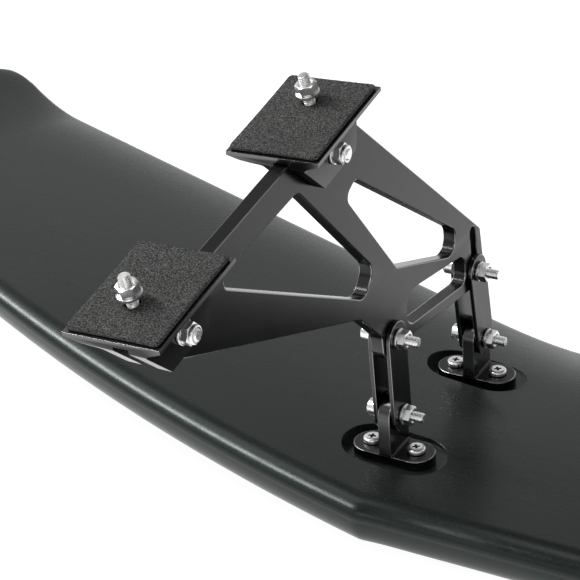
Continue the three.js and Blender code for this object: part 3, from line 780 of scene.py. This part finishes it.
def foot_bolt():
    """Bolt through both foot flanges, with a washer-faced lock nut on its inboard end."""
    face = PLATE / 2 + GAP + FLANGE + GAP
    seat = face + WASHER_HEIGHT
    collar = turned([(radius, face + height) for radius, height in (
        (4.7, 5.2), (4.7, 6.6), (4.55, 7.0), (4.2, 7.3), (3.7, 7.4), (3.1, 7.25), (3.0, 6.8),
    )], 40)
    parts = [
        moved(button_head(5.3, face, face + 3.3), TURN_OVER), plain_shank(face), washer(WIDE_WASHER, face, seat),
        hex_nut(seat, face + 5.4, open_top=False), collar, threaded(M6, face + 6, face + 8.2),
    ]
    return moved(joined(*parts), ALONG_X)


# ------------------------------------------------------------------ feet, drawn about their pivot bolt

TOP, CANT, PITCH = 14.5, rad(2.6), rad(12.9)
DECK_X, DECK_Y = (-31, 21.5), (-29.4, 37.4)
FLANGE_DROP = 12.3
PAD, PAD_MARGIN, PAD_CORNER, VOXEL = 2.4, 1.2, 2.5, 0.62
# How far the pad's rim sinks and its sides pull in, and from which share of its half size a point is on a side.
PAD_CROWN, PAD_PULL, PAD_SIDE = 0.35, 0.35, 0.97
STUD_X, STUD_HOLE, PAD_HOLE = -7, 3.1, 4.0
LEAN = at(0, TOP) @ Matrix.Rotation(-CANT, 4, "Y") @ at(0, -TOP)


def curve_through(start, control, end, count=8):
    steps = (i / count for i in range(1, count + 1))
    return [
        tuple((1 - t) ** 2 * a + 2 * t * (1 - t) * b + t * t * c for a, b, c in zip(start, control, end))
        for t in steps
    ]


def under(x, depth):
    """A point (x, z) at a depth under the canted top of the deck."""
    return x, TOP + x * math.tan(CANT) - depth


def foot_bracket(stud_y):
    """A canted deck with a flange down each side of the stand plate."""
    inner, outer, bottom = PLATE / 2 + GAP, PLATE / 2 + GAP + FLANGE, -FLANGE_DROP
    across = [under(DECK_X[0], 0), under(DECK_X[0], 2.2), under(-outer - 5.5, 6.2)]
    across += curve_through(across[-1], under(-outer, 6.6), under(-outer, 8.4))
    across += [(-outer, bottom), (-inner, bottom), under(-inner, 3.1), under(inner, 3.1), (inner, bottom)]
    across += [(outer, bottom), under(outer, 8.2)]
    across += curve_through(across[-1], under(outer, 6.0), under(outer + 3, 4.6))
    across += [under(DECK_X[1], 2.2), under(DECK_X[1], 0)]
    along = [
        (-30.4, 17.5), (-30.4, 8.1), (-29.4, 9.1), (-13.9, bottom), (18.9, bottom), (21.9, bottom + 5), (26.9, 8.1),
        (38.4, 8.1), (38.4, 17.5),
    ]
    body = tidied(lofted([[(x, y, z) for x, z in across] for y in DECK_Y]))
    body = boolean(body, tidied(lofted([[(x, y, z) for y, z in along] for x in (-33, 23)])), "INTERSECT")
    body = boolean(body, moved(tidied(turned([(HOLE, -20), (HOLE, 20)])), ALONG_X))
    stud_hole = tidied(turned([(STUD_HOLE, TOP - 9), (STUD_HOLE, TOP + 3)]))
    body = bevelled(boolean(body, moved(stud_hole, LEAN @ at(stud_y, 0, STUD_X))), 0.38)

    # Narrow bevel faces, which get the painted chamfer highlight.
    def narrow(face):
        corners = [body.vertices[index].co for index in face.vertices]
        return face.area < 0.4 * max((corner - corners[i - 1]).length for i, corner in enumerate(corners))

    return marked(body, "chamfer", narrow)


def foam_pad(stud_y):
    """A remeshed pad with a crowned, cellular top, its sides pulled in between the corners."""
    low, high = TOP + GAP, TOP + GAP + PAD
    (centre_x, half_x), (centre_y, half_y) = (
        ((start + end) / 2, (end - start) / 2 - PAD_MARGIN) for start, end in (DECK_X, DECK_Y)
    )
    outline = rounded([(centre_x + a * half_x, centre_y + b * half_y, PAD_CORNER) for a, b in SQUARE])
    target = shown("target", slab([outline, circle((STUD_X, stud_y), PAD_HOLE)], low, high, 0.6, 2))
    remesh = target.modifiers.new("cells", "REMESH")
    remesh.mode, remesh.voxel_size = "VOXEL", VOXEL
    mesh = to_mesh(target)
    for vertex in mesh.vertices:
        point = vertex.co
        u, v = (point.x - centre_x) / half_x, (point.y - centre_y) / half_y
        lift = max(0.0, (point.z - low) / (high - low))
        crown = PAD_CROWN * ((1 - u ** 4) * (1 - v ** 4) - 1)
        pull = PAD_PULL * (1 - min(u * u, v * v))
        cell = noise.noise(point * 0.9) * 0.16 + noise.noise(point * 2.1 + Vector((7, 3, 1))) * 0.1
        point.z += lift * (crown + cell)
        if abs(u) > PAD_SIDE:
            point.x -= math.copysign(pull, u)
        if abs(v) > PAD_SIDE:
            point.y -= math.copysign(pull, v)
    return moved(mesh, LEAN)


def trunk_stud(stud_y):
    foam = TOP + GAP + PAD
    nut = foam + 5.6
    parts = [threaded(M6, TOP - 2.8, foam + 15.5), washer(WIDE_WASHER, nut - 1.6, nut), hex_nut(nut, nut + 5)]
    return moved(joined(*parts), LEAN @ at(stud_y, 0, STUD_X))


# ------------------------------------------------------------------ both stands

FEET = {"front": (FRONT_FOOT, -5.5), "rear": (REAR_FOOT, 15.5)}
PIVOTS = {"front": (FRONT_LOWER, FRONT_UPPER), "rear": (REAR_LOWER, REAR_UPPER)}
# A screw head's underside below its bracket's pivot, and its turn in degrees for each millimetre of x.
SCREW_DROP, SCREW_TURN = 22.7, 33

screw, bolt, clamp, plate = pan_screw(), pivot_bolt(), foot_bolt(), stand_plate()
feet = {end: (foot_bracket(y), foam_pad(y), trunk_stud(y)) for end, (_, y) in FEET.items()}
brackets = {end: t_bracket(pair[0]) for end, pair in PIVOTS.items()}

for side in ("left", "right"):
    place(plate, "stand", "stand", "stand_plate", ANODISED, side)
    for end, (low_pivot, high_pivot) in PIVOTS.items():
        links = f"{end}_links"
        place(brackets[end], f"{end}_bracket", "blade", f"{end}_t_bracket", ANODISED, side)
        for word, x0 in (("inner", PLATE / 2 + GAP), ("outer", -PLATE / 2 - GAP - LINK)):
            bar = link(low_pivot, high_pivot, x0)
            place(bar, f"{end}_{word}_link", links, f"{end}_link_{word}", ANODISED, side)
        for word, pivot, body in (("lower", low_pivot, links), ("upper", high_pivot, "upper_pivots")):
            name = f"{end}_{word}"
            place(moved(bolt, at(*pivot)), f"{name}_bolt", body, f"{name}_pivot_bolt", ZINC, side)
        for word, x in (("outer", -SCREW_X), ("inner", SCREW_X)):
            spot = at(low_pivot[0], low_pivot[1] - SCREW_DROP, x) @ Matrix.Rotation(rad(SCREW_TURN * x), 4, "Z")
            place(moved(screw, spot), f"{end}_{word}_screw", "blade", f"{end}_screw_{word}", ZINC, side)
    for end, (centre, _) in FEET.items():
        foot = f"{end}_foot"
        tilt = at(*centre) @ Matrix.Rotation(PITCH, 4, "X")
        bracket, pad, stud = (moved(mesh, tilt) for mesh in feet[end])
        place(bracket, foot, foot, f"{foot}_bracket", ANODISED, side)
        place(pad, f"{end}_pad", foot, f"{end}_foam_pad", FOAM, side)
        place(stud, f"{end}_stud", foot, f"{end}_trunk_stud", ZINC, side)
        place(moved(clamp, tilt), f"{end}_clamp_bolt", foot, f"{foot}_bolt", ZINC, side)
        node = frame["nodes"][f"{end}_backing_plate_{side}"]
        node.data.materials.clear()
        node.data.materials.append(STEEL)

# ------------------------------------------------------------------ floor and light

FLOOR_HALF, FLOOR_DROP = 9, 0.0005

floor_look = Look(
    "pale_floor", Base_Color=grey(0.25), Emission_Color=grey(1), Emission_Strength=0.93, Roughness=0.9,
)
floor_mesh = raw([(a * FLOOR_HALF, b * FLOOR_HALF, 0) for a, b in SQUARE], [(0, 1, 2, 3)])
floor_mesh.materials.append(floor_look.material)
floor_object = shown("floor", floor_mesh)
floor_object.location.z = cad_bounds[0][2] - FLOOR_DROP


def softbox(name, position, target, along, width, height, radiance):
    """An area light facing the target, its long side lying along a direction."""
    data = bpy.data.lights.new(name, "AREA")
    data.shape, data.size, data.size_y = "RECTANGLE", width, height
    data.energy = radiance * math.pi * width * height
    away = (Vector(position) - Vector(target)).normalized()
    long_side = (Vector(along) - Vector(along).dot(away) * away).normalized()
    shown(name, data).matrix_world = standing(position, long_side, away.cross(long_side), away)


softbox("key", (-1.85, -0.5, 1.75), (-0.2, 0, 0), (-0.63, 0.63, -0.44), 1.7, 0.38, 28)
softbox("overhead", (-1.2, 0.3, 2.4), (-0.2, 0, 0), (1, 0, 0), 3.2, 0.7, 2)
softbox("front", (0.3, -2.4, 1.9), (-0.2, 0, 0.1), (1, 0, 0), 1.6, 0.8, 1.8)

# The sky's brightness by height: pale at the horizon and in one high band, dark overhead.
SKY = ((0.03, 0.93), (0.17, 0.46), (0.38, 0.48), (0.52, 0.98), (0.62, 0.4), (0.72, 0.08))

world = bpy.data.worlds.new("studio")
scene.world = world
world.use_nodes = True
tree = world.node_tree
direction = tree.nodes.new("ShaderNodeTexCoord")
split = tree.nodes.new("ShaderNodeSeparateXYZ")
shade = tree.nodes.new("ShaderNodeValToRGB")
tree.links.new(direction.outputs["Generated"], split.inputs[0])
tree.links.new(split.outputs["Z"], shade.inputs[0])
tree.links.new(shade.outputs[0], tree.nodes["Background"].inputs["Color"])
stops = shade.color_ramp.elements
stops[0].position, stops[1].position = SKY[0][0], SKY[-1][0]
for height, _ in SKY[1:-1]:
    stops.new(height)
for stop, (_, brightness) in zip(stops, SKY):
    stop.color = grey(brightness)
